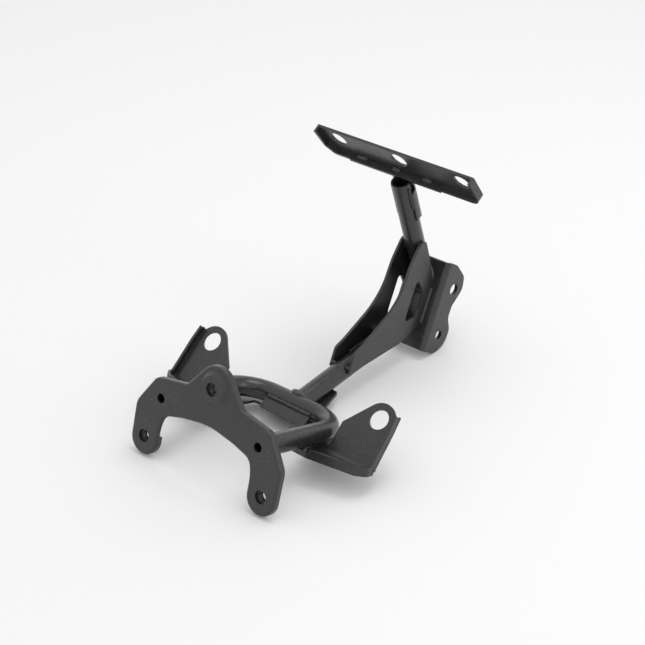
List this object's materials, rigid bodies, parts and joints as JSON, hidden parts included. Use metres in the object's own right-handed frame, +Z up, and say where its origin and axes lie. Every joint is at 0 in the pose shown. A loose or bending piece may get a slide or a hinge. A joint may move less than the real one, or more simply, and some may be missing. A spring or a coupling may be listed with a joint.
{
  "type": "headlight mounting bracket",
  "caption": "Welded tube and sheet bracket that holds a headlight in front of a steering head, painted black, with ears, a drilled top bar and a rear bolt-on channel.",
  "frame": {"origin": "middle of the bounding box, at the ground under the feet and the rear channel", "axes": "+X across the bracket to the right seen from the front plate, +Y from the front plate to the rear channel, +Z up"},
  "size_m": [0.203, 0.2969, 0.1883],
  "materials": {
    "sheet_black": "satin black paint",
    "tube_black": "satin black paint",
    "nut_black": "satin black paint with bare threads",
    "weld_black": "satin black paint over weld"
  },
  "bodies": {
    "root": {"left_hoop_bead": "weld_black", "right_hoop_bead": "weld_black", "left_gusset_bead": "weld_black", "right_gusset_bead": "weld_black", "front_plate": "sheet_black", "left_foot_nut": "nut_black", "right_foot_nut": "nut_black", "lug_nut": "nut_black", "hoop_tube": "tube_black", "ear_crossmember": "sheet_black", "hoop_apron": "sheet_black", "arm_tube": "tube_black", "right_gusset": "sheet_black", "left_gusset": "sheet_black", "neck_bracket": "sheet_black", "upright_tube": "tube_black", "top_bar": "sheet_black", "tongue_bracket": "sheet_black"}
  },
  "joints": []
}
